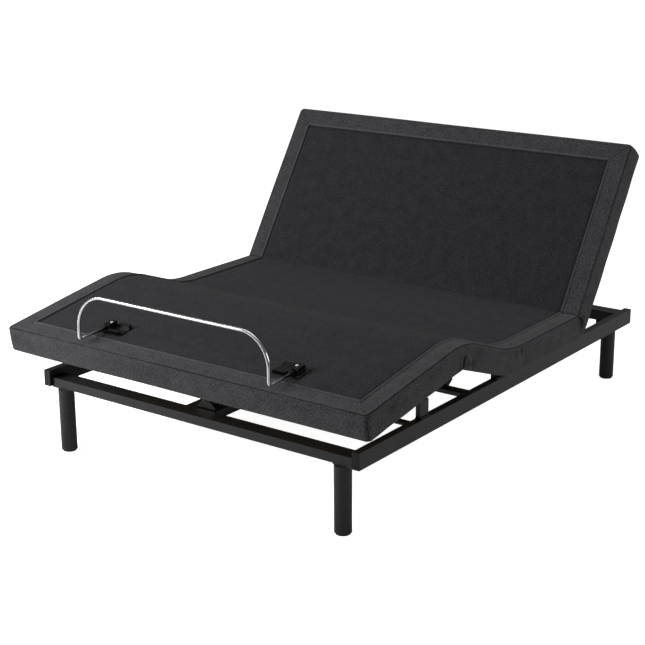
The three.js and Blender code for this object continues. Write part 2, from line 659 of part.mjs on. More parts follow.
// Box with a half-round lid, and the mains inlet in its end towards the head.
function buildControlBox() {
  const x0 = CENTRE_RAIL.x1 + GAP;
  const x1 = CENTRE_RAIL.x1 + BOX.width;
  const { y0, y1, z0, shoulder } = BOX;
  const lid = rodY((x0 + x1) / 2, y0, y1, shoulder, (x1 - x0) / 2, 24)
    .subtract(block(x0 - 1, x1 + 1, y0 - 1, y1 + 1, z0 - BOX.width, shoulder));
  const socketEnd = y1 - INLET.depth - 1;
  const socket = block(INLET.x0, INLET.x1, socketEnd, y1 + 1, INLET.z0, INLET.z1);
  addPiece(bed, 'control_box',
    block(x0, x1, y0, y1, z0, shoulder + 2).add(lid).subtract(socket), blackPlastic);
  addPiece(bed, 'cord_inlet', union(
    block(INLET.x0 + GAP, INLET.x1 - GAP, socketEnd + 1, y1 + 4, INLET.z0 + GAP, INLET.z1 - GAP),
    block(INLET.x0 - 2, INLET.x1 + 2, y1 + GAP, y1 + 2, INLET.z0 - 1, INLET.z1 + 1)), rubber);
}

// ---------------------------------------------------------------- links and actuators

function rotated([y, z], angle) {
  const c = Math.cos(angle);
  const s = Math.sin(angle);
  return [y * c - z * s, y * s + z * c];
}

// Group at a pivot whose +Y axis points at a target; returns its length too.
function aimedGroup(x, [y, z], [ty, tz]) {
  const group = new THREE.Group();
  group.position.set(x, y, z);
  group.rotation.x = Math.atan2(tz - z, ty - y);
  bed.add(group);
  return [group, Math.hypot(ty - y, tz - z)];
}

function buildLinks() {
  const [oy, oz] = rotated(LINK_FOOT_OFFSET, FOOT_SLOPE);
  const target = [kneeHinge[0] + oy, kneeHinge[1] + oz];
  const r = LINK_WIDTH / 2;
  const h = LINK_THICKNESS / 2;
  for (const [name, side] of SIDES) {
    const [group, length] = aimedGroup(side * LINK_X, LINK_PIVOT, target);
    const bar = union(
      block(-h, h, 0, length, -r, r), rodX(-h, h, 0, 0, r), rodX(-h, h, length, 0, r + 2));
    const holes = union(
      rodX(-h - 1, h + 1, 0, 0, LINK_PIN_RADIUS + GAP),
      rodX(-h - 1, h + 1, length, 0, LINK_PIN_RADIUS + LINK_PLAY));
    addPiece(group, `${name}_foot_link`, bar.subtract(holes), frameSteel);
  }
}

// Linear actuator: tail eye, gearbox with its motor beside the outer tube, and the rod.
function buildActuator(name, drive, hinge, angle, motorSide) {
  const [oy, oz] = rotated(drive.lever, angle);
  const [group, length] = aimedGroup(drive.x, drive.tail, [hinge[0] + oy, hinge[1] + oz]);
  const motorX = motorSide * MOTOR_OFFSET;
  const shell = union(
    rodX(-8, 8, 0, 0, 14), block(-8, 8, 0, 24, -11, 11),
    block(-30, 30, 22, 104, -26, 26), rodY(0, 100, drive.tube, 0, ACTUATOR_TUBE_RADIUS),
    rodY(motorX, 34, 178, 0, MOTOR_RADIUS, 24),
    block(Math.min(0, motorX), Math.max(0, motorX), 36, 96, -22, 22));
  const cuts = union(
    rodX(-9, 9, 0, 0, ACTUATOR_PIN_RADIUS + GAP),
    rodY(0, 120, drive.tube + 1, 0, ACTUATOR_ROD_RADIUS + 1));
  addPiece(group, `${name}_body`, shell.subtract(cuts), blackPlastic);

  const hole = ACTUATOR_PIN_RADIUS + drive.play;
  const eye = rodX(-8, 8, length, 0, hole + 5, 24);
  const rod = union(rodY(0, 200, length - hole - 1, 0, ACTUATOR_ROD_RADIUS), eye)
    .subtract(rodX(-9, 9, length, 0, hole, 24));
  addPiece(group, `${name}_rod`, rod, zincSteel);
}

buildSideRails();
buildCrossRails();
buildLegs();
buildPosts();
buildSeat();
buildHead();
buildThigh();
buildFoot();
buildHingeRods();
buildRetainer();
buildLinks();
buildActuator('head_actuator', HEAD_DRIVE, headHinge, HEAD_ANGLE, 1);
buildActuator('thigh_actuator', THIGH_DRIVE, thighHinge, -THIGH_ANGLE, -1);
buildControlBox();

// The hoop reaches past the foot end, so the frame stands a little off the middle.
bed.position.y = ORIGIN_OFFSET;

export default bed;
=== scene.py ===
"""Adjustable bed base: upholstery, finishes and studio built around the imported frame.

Metres, +Z up, foot end towards -Y. The deck's sizes and its hinge lines are read from the frame. Cloth is
described flat, by u across the bed, v along the deck and h above the hinge lines, and then placed.
"""
import json
import math

import bmesh
import bpy
import numpy as np
from mathutils import Matrix, Vector


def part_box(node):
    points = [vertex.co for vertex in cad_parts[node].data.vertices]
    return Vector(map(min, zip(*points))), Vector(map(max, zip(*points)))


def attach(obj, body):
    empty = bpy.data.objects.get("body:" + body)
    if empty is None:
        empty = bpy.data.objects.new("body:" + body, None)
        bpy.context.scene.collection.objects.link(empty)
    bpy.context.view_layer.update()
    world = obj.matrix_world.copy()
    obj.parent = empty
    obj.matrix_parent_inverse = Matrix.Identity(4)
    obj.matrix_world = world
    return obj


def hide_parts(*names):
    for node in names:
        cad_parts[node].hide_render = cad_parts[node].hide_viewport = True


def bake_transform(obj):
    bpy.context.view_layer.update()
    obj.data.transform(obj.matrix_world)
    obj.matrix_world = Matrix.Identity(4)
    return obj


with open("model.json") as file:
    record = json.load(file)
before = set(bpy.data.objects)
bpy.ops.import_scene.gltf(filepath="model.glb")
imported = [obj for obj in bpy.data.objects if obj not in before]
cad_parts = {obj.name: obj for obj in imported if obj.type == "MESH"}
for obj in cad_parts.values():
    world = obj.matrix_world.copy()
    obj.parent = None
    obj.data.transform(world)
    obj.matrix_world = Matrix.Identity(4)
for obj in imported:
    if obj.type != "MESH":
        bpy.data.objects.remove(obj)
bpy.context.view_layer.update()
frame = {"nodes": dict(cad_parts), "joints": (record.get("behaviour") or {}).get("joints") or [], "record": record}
NODES = frame["nodes"]
JOINTS = {j["name"]: j for j in frame["joints"]}
RATIOS = {c["joint"]: c["ratio"] for c in frame["record"]["behaviour"]["couplings"]}

# ---------------------------------------------------------------- camera and studio values

CAMERA_TARGET = Vector((0.0211, -0.1848, 0.4111))
CAMERA_AZIMUTH = math.radians(36.569)
CAMERA_ELEVATION = math.radians(17.059)
CAMERA_ROLL = math.radians(-0.388)
CAMERA_DISTANCE = 5.3936
CAMERA_LENS = 84.01
CAMERA_SENSOR = 36.0
CAMERA_CLIP_END = 60.0
SKY_LIGHT = 0.16
FLOOR_GLOW = 0.90
FLOOR_HALF = 30.0
FLOOR_DROP = 0.0005
# Area lights: name, place, point it faces, width and height, power in watts.
LIGHTS = (
    ("key", (-1.9, -2.7, 1.5), (-0.5, -0.9, 0.4), (1.1, 1.1), 92),
    ("front", (0.2, -4.6, 2.4), (-0.2, -0.3, 0.4), (2.4, 2.0), 8),
    ("right", (4.2, 1.4, 1.8), (0.6, -0.1, 0.45), (2.0, 1.6), 62),
    ("top", (-0.5, 0.2, 4.2), (-0.1, 0, 0.4), (4.0, 4.0), 74),
)

# ---------------------------------------------------------------- cover values, in metres

# Plan: width of the border, radius of the deck's corners, and how far the skirt turns in under the hem.
BAND = 0.077
CORNER_RADIUS = 0.018
SKIRT = 0.022
# Section, from the panel outwards and down. Arcs are first and last angle in degrees and point count.
PANEL_SINK = 0.0030
GROOVE_SINK = 0.0054
GROOVE_WIDTH = 0.0008
ROLL_RADIUS = 0.0042
ROLL_GAP = 0.0012
ROLL_SINK = 0.001
ROLL_LAND = 0.002
ROLL_ARC = (-30, 170, 9)
BAND_CROWN = 0.0016
BAND_MARGIN = 0.001
BAND_ROWS = 8
EDGE_RADIUS = 0.011
SEAM_DEPTH = 0.0022
# The round top edge: degrees up from the side face, and the share of the seam's depth it is sunk by.
EDGE_STEPS = (
    (90, 0), (76, 0), (64, 0), (56, 0.3), (51, 1), (46, 1), (41, 0.3), (33, 0), (20, 0), (6, 0),
)
EDGE_LAND = 0.004
SIDE_CROWN = 0.0020
SIDE_ROWS = 10
HEM_RADIUS = 0.011
HEM_LAND = 0.002
HEM_ARC = (180, 270, 6)
SKIRT_TURN = 0.004
SKIRT_LIFT = 0.0002
LINING_STEP = 0.012
BOARD_GAP = 0.0006
MITRE_WIDTH = 0.0022
# Half the length over which the fabric turns at a hinge, below the deck boards and at the top.
KNEE_REACH = (0.0125, 0.070)
THIGH_REACH = (0.035, 0.080)
HEAD_HINGE_REACH = (0.032, 0.032)
REACH_TOP = 0.006
# Mesh density: rows along the deck, finer rows within a window round each bend, columns across it,
# and points on the straights and the arc of a corner.
ROW_STEP = 0.010
FINE_STEP = 0.0026
BEND_WINDOW = 0.085
COLUMN_STEP = 0.012
CORNER_STRAIGHT = 8
CORNER_ARC = 12
MERGE_REACH = 2e-5
TINY = 1e-6
# Zones of a cover, in the order of its material slots.
PANEL, BORDER, SEAM, LINING = range(4)

# ---------------------------------------------------------------- relief values, in metres and radians

# Height, rate and phase across, rate and phase along.
DECK_SWELL = (0.0005, 7.3, 1.1, 9.1, 0.4)
# Height, rate along, and the phase that tells one side from the other.
SIDE_BULGE = (0.0011, 14.0, 2.0)
# Height, rate across, rate along.
PANEL_RIPPLE = (0.0004, 19.0, -6.0)
SIDE_RIPPLE = (0.0006, 9.0, 37.0)
# Puckers: height, reach from the seam, length of one, and how far and how fast that length wanders.
EDGE_PUCKERS = (0.00035, 0.012, 0.021, 3, 11)
BAND_PUCKERS = (0.00030, 0.010, 0.026, 4, 7)
CROWN_HEIGHT = 0.0028
CROWN_REACH = 0.030
VALLEY_DEPTH = 0.0050
VALLEY_WIDTH = 0.007
MITRE_DEPTH = 0.0010
# The low rolls beside a crease: share of its depth, and place in crease widths.
ROLL_SHARE = 0.45
ROLL_PLACE = 1.9
# Depth that counts as fully hollow for the painted shade in creases and pleats, and the slack in telling the side
# from the edge.
HOLLOW_DEPTH = 0.007
EDGE_TOLERANCE = 0.0004

# ---------------------------------------------------------------- retainer and bolt values, in metres

# The bar: half its width, its radius, its rise over the deck, its corners, and its lean to the head.
BAR_X = 0.402
BAR_RADIUS = 0.0057
BAR_RISE = 0.178
BAR_CORNER = 0.110
BAR_LEAN = math.radians(10.2)
BAR_SETBACK = 0.001
ARM_RISE = 0.020
ARM_END_RISE = 0.008
ARM_LENGTH = 0.150
ARM_LAND = 0.003
ARM_SAG = 0.0005
ELBOW = 0.012
ELBOW_STEPS = 9
CORNER_STEPS = 25
TOP_STEPS = 12
BAR_SIDES = 28
# The bolts: seat height over the deck, place across and back from the foot end, and (radius, height).
BRACKET_HEIGHT = 0.0203
BOLT_X = 0.396
BOLT_BACK = 0.152
BOLT_SIDES = 32
BOLT_PROFILE = (
    (0.0, 0.0), (0.0044, 0.0), (0.0046, 0.0006), (0.0040, 0.0024), (0.0026, 0.0033), (0.0, 0.0036),
)

# ---------------------------------------------------------------- finish values, linear colours

# Woven cloths: dark and light thread, thread pitch and slub length in metres, bump and sheen.
WEAVES = {
    "border": {
        "name": "border_weave", "dark": (0.021, 0.0202, 0.0224), "light": (0.072, 0.070, 0.075),
        "thread": 0.0016, "slub": 0.010, "bump": 0.60, "sheen": 0.06, "mitred": True,
    },
    "panel": {
        "name": "panel_knit", "dark": (0.0125, 0.0116, 0.0133), "light": (0.036, 0.034, 0.038),
        "thread": 0.0015, "slub": 0.009, "bump": 0.40, "sheen": 0.03,
    },
    # Near-black cloth of the seam grooves: dark thread, and painted shadow in the groove.
    "seam": {
        "name": "seam_shadow", "dark": (0.005, 0.005, 0.0055), "light": (0.012, 0.012, 0.0125),
        "thread": 0.0008, "slub": 0.006, "bump": 0.3, "sheen": 0.0,
    },
}
# Shares of the painted shade in creases, the painted shade along the mitre seams and the painted highlight on the
# border's rolled inner edge.
HOLLOW_SHADE = 0.85
MITRE_SHADE = 0.7
ROLL_HIGHLIGHT = 0.45
# Dark and light tone of each finish, and its range of roughness.
LINING_TONES = ((0.006, 0.006, 0.007), (0.022, 0.022, 0.023))
CHROME_TONES = ((0.50, 0.50, 0.52), (0.60, 0.60, 0.62))
CHROME_ROUGHNESS = (0.14, 0.24)
ZINC_TONES = ((0.40, 0.41, 0.42), (0.62, 0.62, 0.60))
ZINC_ROUGHNESS = (0.25, 0.42)
BOLT_TONES = ((0.75, 0.75, 0.76), (0.90, 0.90, 0.90))
RUBBER_TONES = ((0.010, 0.010, 0.010), (0.030, 0.029, 0.028))
PLYWOOD_TONES = ((0.20, 0.125, 0.066), (0.42, 0.29, 0.165))
COAT_LEVEL = 0.006
COAT_ROUGHNESS = 0.36
PLASTIC_LEVEL = 0.003
PLASTIC_ROUGHNESS = 0.26

# ---------------------------------------------------------------- rolled edges of the CAD nodes

RAIL_EDGE = 0.0022
PLAIN_EDGE = 0.0010
EDGE_SEGMENTS = 3
EDGE_ANGLE = math.radians(35)

# ---------------------------------------------------------------- deck geometry from the frame


def hinge_yz(joint):
    """The hinge line's y and z."""
    return np.array(JOINTS[joint]["pos_m"][1:])


THIGH_HINGE = hinge_yz("thigh_lift")
KNEE_HINGE = hinge_yz("knee_fold")
HEAD_HINGE = hinge_yz("head_lift")
THIGH_ANGLE = -math.radians(JOINTS["thigh_lift"]["range_deg"][0])
HEAD_ANGLE = -math.radians(JOINTS["head_lift"]["range_deg"][0])
FOOT_SLOPE = (RATIOS["knee_fold"] - 1) * THIGH_ANGLE

SEAT_LOW, SEAT_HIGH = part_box("seat_cover")
HALF_WIDTH = SEAT_HIGH.x
TOP = SEAT_HIGH.z - THIGH_HINGE[1]
BOTTOM = SEAT_LOW.z - THIGH_HINGE[1]
INNER_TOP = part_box("seat_board")[1].z - THIGH_HINGE[1] + BOARD_GAP

THIGH_RUN = float(np.linalg.norm(KNEE_HINGE - THIGH_HINGE))
SEAT_RUN = float(HEAD_HINGE[0] - THIGH_HINGE[0])
FOOT_REACH = KNEE_HINGE[0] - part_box("foot_cover")[0].y
HEAD_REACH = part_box("head_cover")[1].z - HEAD_HINGE[1]
FOOT_RUN = (FOOT_REACH - TOP * math.sin(FOOT_SLOPE)) / math.cos(FOOT_SLOPE)
HEAD_RUN = (HEAD_REACH - TOP * math.cos(HEAD_ANGLE)) / math.sin(HEAD_ANGLE)

# Developed coordinate v: along the deck from the thigh hinge, + towards the head.
V_FOOT_END = -THIGH_RUN - FOOT_RUN
V_KNEE = -THIGH_RUN
V_THIGH = 0.0
V_HEAD = SEAT_RUN
V_HEAD_END = SEAT_RUN + HEAD_RUN

# Each bend: v, hinge, slope before and after it, and its two reaches.
BENDS = (
    (V_KNEE, KNEE_HINGE, FOOT_SLOPE, -THIGH_ANGLE, *KNEE_REACH),
    (V_THIGH, THIGH_HINGE, -THIGH_ANGLE, 0.0, *THIGH_REACH),
    (V_HEAD, HEAD_HINGE, 0.0, HEAD_ANGLE, *HEAD_HINGE_REACH),
)


def ramp(x, low, high):
    """0 at low, 1 at high, smooth between."""
    t = np.clip((x - low) / (high - low), 0, 1)
    return t * t * (3 - 2 * t)


def place(u, v, h):
    """World points of flat cloth coordinates: u across, v along the deck, h above the hinge line."""
    u, v, h = (np.asarray(a, float) for a in (u, v, h))
    cases = [v < V_KNEE, v < V_THIGH, v < V_HEAD, v >= V_HEAD]
    angle = np.select(cases, [FOOT_SLOPE, -THIGH_ANGLE, 0.0, HEAD_ANGLE])
    from_v = np.select(cases, [V_KNEE, V_THIGH, V_THIGH, V_HEAD])
    hinge_y = np.select(cases, [KNEE_HINGE[0], THIGH_HINGE[0], THIGH_HINGE[0], HEAD_HINGE[0]])
    hinge_z = np.select(cases, [KNEE_HINGE[1], THIGH_HINGE[1], THIGH_HINGE[1], HEAD_HINGE[1]])
    y = hinge_y + (v - from_v) * np.cos(angle)
    z = hinge_z + (v - from_v) * np.sin(angle)
    for v0, hinge, before, after, low_reach, top_reach in BENDS:
        reach = low_reach + (top_reach - low_reach) * ramp(h, INNER_TOP, TOP - REACH_TOP)
        inside = np.abs(v - v0) < reach
        turning = after - before
        side = math.copysign(1.0, turning)
        radius = reach / math.tan(abs(turning) / 2)
        centre_y = hinge[0] - reach * math.cos(before) - side * radius * math.sin(before)
        centre_z = hinge[1] - reach * math.sin(before) + side * radius * math.cos(before)
        local = before + turning * (v - v0 + reach) / (2 * reach)
        y = np.where(inside, centre_y + side * radius * np.sin(local), y)
        z = np.where(inside, centre_z - side * radius * np.cos(local), z)
        angle = np.where(inside, local, angle)
    return np.stack([u, y - h * np.sin(angle), z + h * np.cos(angle)], axis=-1)


# ---------------------------------------------------------------- cover construction


def new_object(bm, name):
    """A linked object made from a finished BMesh."""
    mesh = bpy.data.meshes.new(name)
    bm.to_mesh(mesh)
    bm.free()
    made = bpy.data.objects.new(name, mesh)
    bpy.context.scene.collection.objects.link(made)
    return made


def turn(cx, cy, radius, first, last, count):
    """Points of an arc in the (inset, height) plane, angles in degrees from +inset towards +height."""
    angles = np.radians(np.linspace(first, last, count))
    return [(cx + radius * math.cos(a), cy + radius * math.sin(a)) for a in angles]


def cover_profile():
    """(inset, height, zone) from the panel's edge over the border and hem to the inside of the skirt."""
    rows = [(BAND, TOP - PANEL_SINK, PANEL), (BAND - GROOVE_WIDTH, TOP - GROOVE_SINK, SEAM)]
    roll_inset = BAND - ROLL_GAP - ROLL_RADIUS
    rows += [(i, h, BORDER) for i, h in turn(roll_inset, TOP - ROLL_SINK, ROLL_RADIUS, *ROLL_ARC)]
    band_outer = EDGE_RADIUS + BAND_MARGIN
    band_inner = roll_inset - ROLL_RADIUS - ROLL_LAND
    for t in np.linspace(0, 1, BAND_ROWS):
        inset = band_inner + (band_outer - band_inner) * t
        rows.append((inset, TOP + BAND_CROWN * (math.sin(math.pi * t) - 0.5), BORDER))
    rows += edge_with_seam()
    side_top = TOP - EDGE_RADIUS - EDGE_LAND
    side_bottom = BOTTOM + HEM_RADIUS + HEM_LAND
    for t in np.linspace(0, 1, SIDE_ROWS):
        height = side_top + (side_bottom - side_top) * t
        rows.append((-SIDE_CROWN * math.sin(math.pi * t), height, BORDER))
    hem = turn(HEM_RADIUS, BOTTOM + HEM_RADIUS, HEM_RADIUS, *HEM_ARC)
    rows += [(i, h, BORDER) for i, h in hem]
    rows += [(SKIRT - SKIRT_TURN, BOTTOM + SKIRT_LIFT, LINING), (SKIRT, BOTTOM + HEM_LAND, LINING)]
    rows += [(SKIRT, -LINING_STEP, LINING), (SKIRT, INNER_TOP, LINING), (BAND, INNER_TOP, LINING)]
    return rows


def edge_with_seam():
    """The rounded top edge, with the seam between the border and the side sunk into it half way."""
    rows = []
    for angle, depth in EDGE_STEPS:
        radius = EDGE_RADIUS - SEAM_DEPTH * depth
        a = math.radians(180 - angle)
        inset = EDGE_RADIUS + radius * math.cos(a)
        rows.append((inset, TOP - EDGE_RADIUS + radius * math.sin(a), SEAM if depth == 1 else BORDER))
    return rows


def stations(low, high):
    """Row positions along the deck, closer together where the fabric turns at a hinge."""
    rows = list(np.linspace(low, high, max(2, round((high - low) / ROW_STEP))))
    for v0, *_ in BENDS:
        if low < v0 < high:
            rows = [r for r in rows if abs(r - v0) > BEND_WINDOW + FINE_STEP]
            count = round(2 * BEND_WINDOW / FINE_STEP) + 1
            rows += list(np.linspace(v0 - BEND_WINDOW, v0 + BEND_WINDOW, count))
    return np.array(sorted(rows))


def end_path(inset, rows, end, columns):
    """Plan path of one ring round a free end: down one side, round the end and up the other side."""
    side = HALF_WIDTH - inset
    radius = max(CORNER_RADIUS - inset, 0.0)
    inner = HALF_WIDTH - BAND
    right = [(side, s) for s in rows[::-1]]
    down = np.linspace(end + BAND, end + inset + radius, CORNER_STRAIGHT + 1)[1:]
    across = np.linspace(side - radius, inner, CORNER_STRAIGHT + 1)[1:]
    arc_angles = np.linspace(0, -math.pi / 2, CORNER_ARC + 1)[1:]
    centre = (side - radius, end + inset + radius)
    corner = [(side, s) for s in down]
    corner += [(centre[0] + radius * math.cos(a), centre[1] + radius * math.sin(a)) for a in arc_angles]
    corner += [(u, end + inset) for u in across]
    half = right + corner + [(u, end + inset) for u in columns[::-1] if 0 < u < inner - TINY]
    return half + [(0.0, end + inset)] + [(-u, s) for u, s in half[::-1]]


def side_path(side, inset, rows):
    """Plan path of one ring along a cover's side, +1 or -1, when neither end is free."""
    return [(side * (HALF_WIDTH - inset), r) for r in rows[::-side]]


def strip_faces(bm, uv, rings, places, zones, flip):
    """Quads between neighbouring rings of vertices. places holds each one's (u, v, across the strip)."""
    for k in range(len(rings) - 1):
        zone = zones[k + 1] if zones[k + 1] != PANEL else BORDER
        a, b = rings[k], rings[k + 1]
        pa, pb = places[k], places[k + 1]
        for i in range(len(a) - 1):
            corners = [(a[i], pa[i]), (a[i + 1], pa[i + 1]), (b[i + 1], pb[i + 1]), (b[i], pb[i])]
            if flip:
                corners.reverse()
            along = 1 if runs_along_side([p for _, p in corners]) else 0
            add_face(bm, uv, [(vert, (p[along], p[2])) for vert, p in corners], zone)


def runs_along_side(places):
    """Whether a face lies on the side's half of a corner's mitre, where threads run along the deck."""
    u, v, _ = np.mean(places, axis=0)
    return HALF_WIDTH - abs(u) < min(v - V_FOOT_END, V_HEAD_END - v)


def add_face(bm, uv, corners, zone):
    """One smooth face; corners holds (vertex, cloth coordinate) pairs."""
    face = bm.faces.new([c[0] for c in corners])
    face.material_index = zone
    face.smooth = True
    for loop, (_, value) in zip(face.loops, corners):
        loop[uv].uv = value


def grid_faces(bm, uv, verts, values, zone, flip):
    """Quads over a grid of vertices with a cloth coordinate each."""
    for i in range(len(verts) - 1):
        for j in range(len(verts[0]) - 1):
            keys = [(i, j), (i, j + 1), (i + 1, j + 1), (i + 1, j)]
            if flip:
                keys.reverse()
            add_face(bm, uv, [(verts[a][b], values[a][b]) for a, b in keys], zone)


def build_cover(name, low, high, free):
    """Closed upholstered shell from v = low to high. free, 'low', 'high' or None, is the skirted end."""
    sign = -1.0 if free == "high" else 1.0
    end, cut = (-high, -low) if free == "high" else (low, high)
    rows = sign * stations(*sorted((sign * (end + (BAND if free else 0.0)), sign * cut)))
    rows = np.array(sorted(rows))
    inner = HALF_WIDTH - BAND
    columns = np.linspace(-inner, inner, 2 * round(inner / COLUMN_STEP) + 1)
    profile = cover_profile()
    zones = [z for _, _, z in profile]

    bm = bmesh.new()
    uv = bm.loops.layers.uv.new("cloth")
    flat_layer = bm.verts.layers.float_vector.new("flat")

    def add_verts(points, height):
        plan = np.array(points)
        world = place(plan[:, 0], sign * plan[:, 1], np.full(len(plan), height))
        made = []
        for p, q in zip(world, plan):
            vert = bm.verts.new(p)
            vert[flat_layer] = (q[0], sign * q[1], height)
            made.append(vert)
        return made

    def add_grid(height, zone, flip):
        verts = [add_verts([(u, s) for u in columns], height) for s in rows]
        values = [[(u, sign * s) for u in columns] for s in rows]
        grid_faces(bm, uv, verts, values, zone, flip)

    add_grid(TOP - PANEL_SINK, PANEL, free == "high")
    add_grid(INNER_TOP, LINING, free != "high")

    steps = [math.hypot(b[0] - a[0], b[1] - a[1]) for a, b in zip(profile, profile[1:])]
    across = np.cumsum([0] + steps)
    if free:
        paths = [[end_path(inset, rows, end, columns) for inset, _, _ in profile]]
    else:
        paths = [[side_path(side, inset, rows) for inset, _, _ in profile] for side in (1, -1)]
    for path in paths:
        rings, places = [], []
        for (inset, height, _), points, q in zip(profile, path, across):
            rings.append(add_verts(points, height))
            places.append([(u, sign * s, q) for u, s in points])
        strip_faces(bm, uv, rings, places, zones, free == "high")
    close_cover(bm)
    return new_object(bm, name)


def close_cover(bm):
    """Joins the panel, border and lining of a cover and fills its cut ends, which keep sharp edges."""
    bmesh.ops.remove_doubles(bm, verts=bm.verts, dist=MERGE_REACH)
    bmesh.ops.dissolve_degenerate(bm, edges=bm.edges, dist=TINY)
    edges = [e for e in bm.edges if e.is_boundary]
    filled = bmesh.ops.holes_fill(bm, edges=edges, sides=0)
    for face in filled["faces"]:
        face.material_index = LINING
        for edge in face.edges:
            edge.smooth = False
    bmesh.ops.triangulate(bm, faces=filled["faces"])
    bmesh.ops.recalc_face_normals(bm, faces=bm.faces)


# ---------------------------------------------------------------- fabric relief


def bump_row(x, width):
    """A crease of depth 1 with a low roll on each side of it."""
    t = np.abs(x / width)
    return -np.exp(-t * t) + ROLL_SHARE * np.exp(-((t - ROLL_PLACE) ** 2))


# Pleats in the side faces: place along the deck at the hinge line's height, lean, width, depth (a roll
# when negative), and the heights where it starts and where it is full.
PLEATS = (
    (V_KNEE - 0.004, 0.50, 0.0085, 0.0120, 0.018, -0.022),
    (V_KNEE + 0.0225, -0.67, 0.0120, -0.0060, 0.012, -0.020),
    (V_KNEE - 0.034, 0.45, 0.0060, 0.0020, 0.000, -0.030),
    (V_THIGH + 0.046, -0.33, 0.0042, 0.0075, 0.012, 0.034),
    (V_THIGH + 0.067, -0.42, 0.0070, -0.0030, 0.012, 0.034),
    (V_THIGH + 0.089, -0.54, 0.0042, 0.0070, 0.012, 0.034),
    (V_THIGH - 0.006, -0.20, 0.0060, 0.0022, 0.000, -0.030),
    (V_HEAD - 0.003, 0.10, 0.0085, 0.0110, -0.040, 0.010),
    (V_HEAD + 0.020, -0.10, 0.0070, -0.0040, -0.030, 0.020),
    (V_HEAD + 0.034, -0.30, 0.0050, 0.0030, -0.020, 0.024),
)


def foam_waves(u, v, h, side, panel):
    """Slow waves of the foam under a taut cover."""
    height, across, across_phase, along, along_phase = DECK_SWELL
    waves = height * np.sin(across * u + across_phase) * np.sin(along * v + along_phase)
    height, across, along = PANEL_RIPPLE
    waves += panel * height * np.sin(across * u + along * v)
    height, along, side_phase = SIDE_BULGE
    bulge = np.sin(math.pi * ramp(h, BOTTOM, TOP))
    waves += side * height * np.sin(along * v + side_phase * np.sign(u)) * bulge
    height, across, along = SIDE_RIPPLE
    return waves + side * height * np.sin(along * v + across * u)


def puckers(along, away, values):
    """Small puckers that run off a seam; along is the place on the seam and away the distance from it."""
    height, reach, length, wander, rate = values
    wave = np.sin(2 * math.pi * along / length + wander * np.sin(rate * along))
    return height * np.exp(-np.abs(away) / reach) * wave


def pleats(v, h):
    """Pleats of the side faces, faded out at the hem."""
    relief = np.zeros(len(v))
    hem = ramp(h, BOTTOM + 0.3 * HEM_RADIUS, BOTTOM + 1.6 * HEM_RADIUS)
    for v0, lean, width, depth, none, full in PLEATS:
        weight = ramp(h, none, full) if none < full else ramp(-h, -none, -full)
        relief += depth * weight * hem * bump_row(v - v0 - lean * h, width)
    return relief


def fabric_relief(flat, side, top, panel):
    """Height of the cloth's relief over the plain shell for each vertex, in metres."""
    u, v, h = flat[:, 0], flat[:, 1], flat[:, 2]
    side_inset = HALF_WIDTH - np.abs(u)
    end_inset = np.minimum(v - V_FOOT_END, V_HEAD_END - v)
    inset = np.minimum(side_inset, end_inset)
    along = np.where(side_inset < BAND + EDGE_LAND, v, u)
    relief = foam_waves(u, v, h, side, panel)
    relief += side * puckers(along, h - (TOP - EDGE_RADIUS), EDGE_PUCKERS)
    relief += top * puckers(along, inset - BAND, BAND_PUCKERS)
    # Foam crown of the panel.
    relief += panel * CROWN_HEIGHT * (1 - np.exp(-np.clip(inset - BAND, 0, 1) / CROWN_REACH))
    # Valley over the head hinge, where the border folds in.
    relief -= top * VALLEY_DEPTH * np.exp(-(((v - V_HEAD) / VALLEY_WIDTH) ** 2))
    # Mitred corners of the border.
    relief -= (1 - panel) * MITRE_DEPTH * np.exp(-(((side_inset - end_inset) / MITRE_WIDTH) ** 2))
    return relief + side * pleats(v, h)


def relieve(cover):
    """Moves the cover's outer vertices along their normals by the fabric relief."""
    mesh = cover.data
    count = len(mesh.vertices)
    flat = np.zeros(count * 3, np.float32)
    mesh.attributes["flat"].data.foreach_get("vector", flat)
    flat = flat.reshape(-1, 3).astype(float)
    co = np.zeros(count * 3, np.float32)
    mesh.vertices.foreach_get("co", co)
    co = co.reshape(-1, 3)
    outer = np.ones(count, bool)
    panel = np.zeros(count)
    normals = np.zeros((count, 3))
    for polygon in mesh.polygons:
        corners = list(polygon.vertices)
        lining = polygon.material_index == LINING
        if lining and np.ptp(flat[corners, 1]) < TINY:
            continue
        normals[corners] += np.array(polygon.normal) * polygon.area
        if lining:
            outer[corners] = False
        if polygon.material_index == PANEL:
            panel[corners] = 1
    normals /= np.maximum(np.linalg.norm(normals, axis=1, keepdims=True), 1e-12)
    h = flat[:, 2]
    side = ((h < TOP - EDGE_RADIUS + EDGE_TOLERANCE) & (panel == 0)).astype(float)
    top = ((h > TOP - EDGE_RADIUS) & (panel == 0)).astype(float)
    shift = fabric_relief(flat, side, top, panel) * outer
    # Painted shade: how far each vertex is sunk, kept as an attribute that darkens the cloth's colour in creases
    # and pleats.
    hollow = mesh.attributes.new("hollow", "FLOAT", "POINT")
    hollow.data.foreach_set("value", np.clip(-shift / HOLLOW_DEPTH, 0, 1).astype(np.float32))
    co += normals * shift[:, None]
    mesh.vertices.foreach_set("co", co.astype(np.float32).ravel())
    mesh.update()


# ---------------------------------------------------------------- materials


